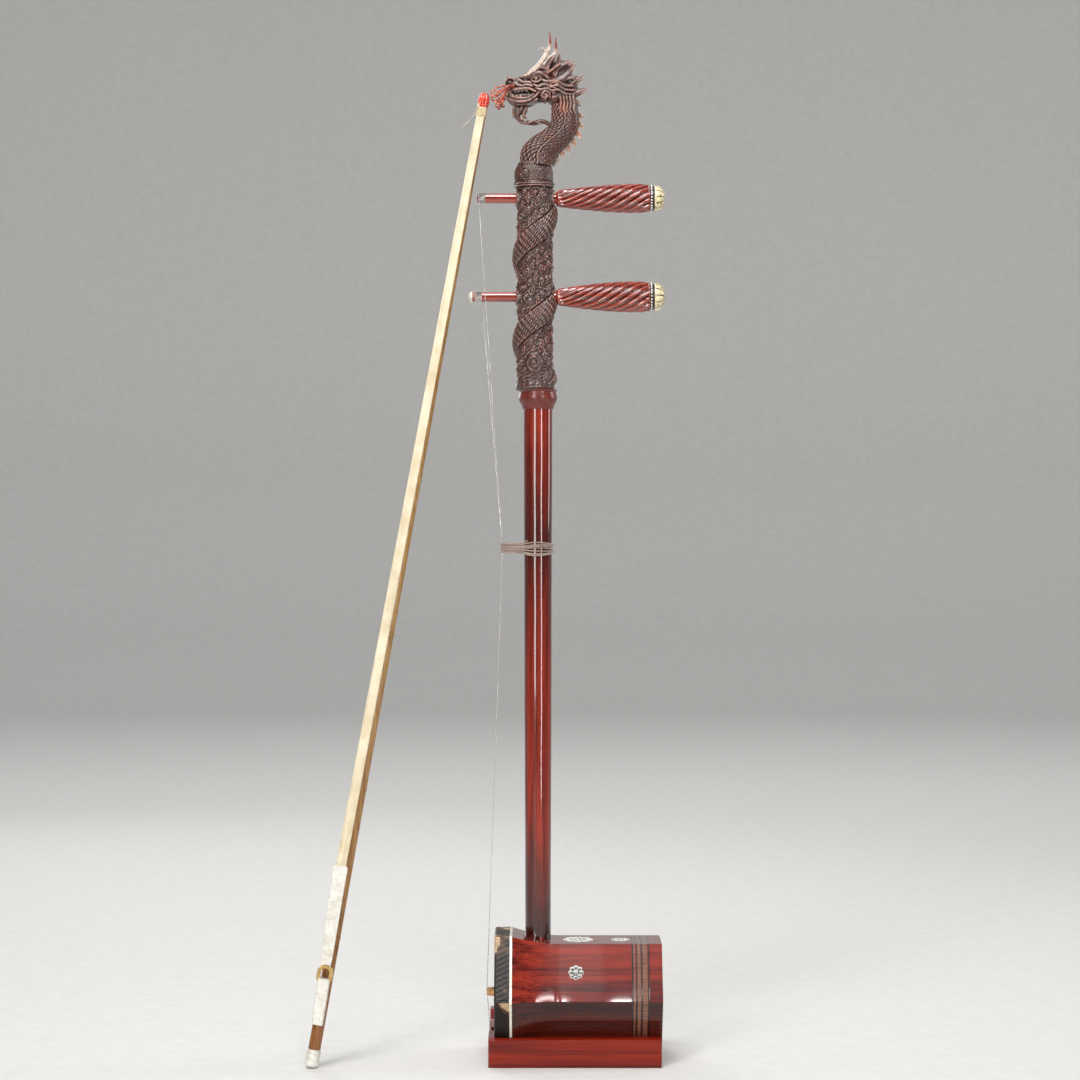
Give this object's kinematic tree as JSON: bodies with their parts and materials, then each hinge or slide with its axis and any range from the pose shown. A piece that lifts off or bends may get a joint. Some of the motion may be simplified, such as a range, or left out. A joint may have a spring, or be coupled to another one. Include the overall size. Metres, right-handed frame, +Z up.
{
  "type": "erhu",
  "caption": "Erhu: hexagonal wooden soundbox with a snake-skin front, a long neck, fluted tuning pegs, a carved dragon head, steel strings and a bamboo bow leaning beside it.",
  "frame": {"origin": "on the base block's flat underside, under the neck's axis", "axes": "+Z up along the neck; -X towards the snake skin and the strings; +X towards the peg handles and the sound window; the bow leans on the -X, -Y side"},
  "size_m": [0.2854, 0.1161, 0.8206],
  "materials": {
    "red_lacquer_wood": "gloss lacquer over rosewood grain",
    "carved_dark_wood": "satin, dark brown carved wood with waxed crests",
    "snake_skin": "gloss scaled snake skin, dark blotches on tan",
    "white_edging": "polished bone white",
    "dark_inlay": "gloss near-black wood",
    "shell_inlay": "pearly shell",
    "thread": "waxed brown thread",
    "steel_string": "bright drawn wire",
    "brass": "polished brass",
    "steel": "plain steel",
    "bamboo": "varnished bamboo",
    "horse_hair": "ivory horse hair with rosin dust",
    "white_plastic": "polished white plastic",
    "knob_wood": "gloss red-brown wood",
    "binding_thread": "pale waxed thread",
    "felt": "dense dark red felt",
    "bridge_wood": "bare maple",
    "eye_bead": "glossy dark bead"
  },
  "bodies": {
    "instrument": {"base_block": "red_lacquer_wood", "base_screws": "steel", "string_hitch": "brass", "soundbox_top": "red_lacquer_wood", "soundbox_upper_near": "red_lacquer_wood", "soundbox_lower_near": "red_lacquer_wood", "soundbox_bottom": "red_lacquer_wood", "soundbox_lower_far": "red_lacquer_wood", "soundbox_upper_far": "red_lacquer_wood", "rear_rings": "dark_inlay", "sound_window": "dark_inlay", "side_flower_near": "shell_inlay", "side_flower_far": "shell_inlay", "top_flower_large": "shell_inlay", "top_flower_small": "shell_inlay", "snake_skin": "snake_skin", "skin_edge_band": "white_edging", "neck_rod": "red_lacquer_wood", "neck_collar": "red_lacquer_wood", "carved_column": "carved_dark_wood", "dragon_neck": "carved_dark_wood", "dorsal_fins": "carved_dark_wood", "dragon_head": "carved_dark_wood", "dragon_eyes": "eye_bead", "dragon_jaw": "carved_dark_wood", "dragon_mane": "carved_dark_wood", "horn_near": "carved_dark_wood", "horn_far": "carved_dark_wood", "whisker_near": "carved_dark_wood", "whisker_far": "carved_dark_wood", "dragon_beard": "carved_dark_wood", "inner_string": "steel_string", "outer_string": "steel_string", "nut_cord": "thread", "bridge": "bridge_wood", "damper_felt": "felt"},
    "upper_tuner": {"upper_peg": "red_lacquer_wood", "upper_peg_bead_ring": "white_edging", "upper_peg_dark_ring": "dark_inlay", "upper_peg_cap": "shell_inlay", "upper_peg_winding": "steel_string"},
    "lower_tuner": {"lower_peg": "red_lacquer_wood", "lower_peg_bead_ring": "white_edging", "lower_peg_dark_ring": "dark_inlay", "lower_peg_cap": "shell_inlay", "lower_peg_winding": "steel_string", "lower_peg_tip": "white_edging"},
    "bow": {"bow_stick": "bamboo", "bow_hair": "horse_hair", "tip_binding": "binding_thread", "tip_knob": "knob_wood"},
    "frog": {"bow_frog": "white_plastic", "frog_ring": "brass", "frog_eye": "brass", "hair_sheath": "white_plastic"},
    "screw": {"screw_rod": "steel", "screw_button": "white_plastic"}
  },
  "joints": [
    {"name": "upper_peg_turn", "type": "hinge", "parent": "instrument", "child": "upper_tuner", "pos_m": [0, 0, 0.6887], "axis": [1, 0, 0], "continuous": true},
    {"name": "lower_peg_turn", "type": "hinge", "parent": "instrument", "child": "lower_tuner", "pos_m": [0, 0, 0.6097], "axis": [1, 0, 0], "continuous": true},
    {"name": "bow_lift", "type": "slide", "parent": "instrument", "child": "bow", "axis": [0, 0, 1], "range_m": [0, 0.25]},
    {"name": "frog_slide", "type": "slide", "parent": "bow", "child": "frog", "axis": [-0.1741, -0.0468, -0.9836], "range_m": [0, 0.005]},
    {"name": "screw_turn", "type": "hinge", "parent": "bow", "child": "screw", "pos_m": [-0.177, -0.044, 0.008], "axis": [0.1741, 0.0468, 0.9836], "range_deg": [0, 2572]}
  ],
  "couplings": [
    {"joint": "screw_turn", "follows": "frog_slide", "rad_per_m": 8976}
  ]
}
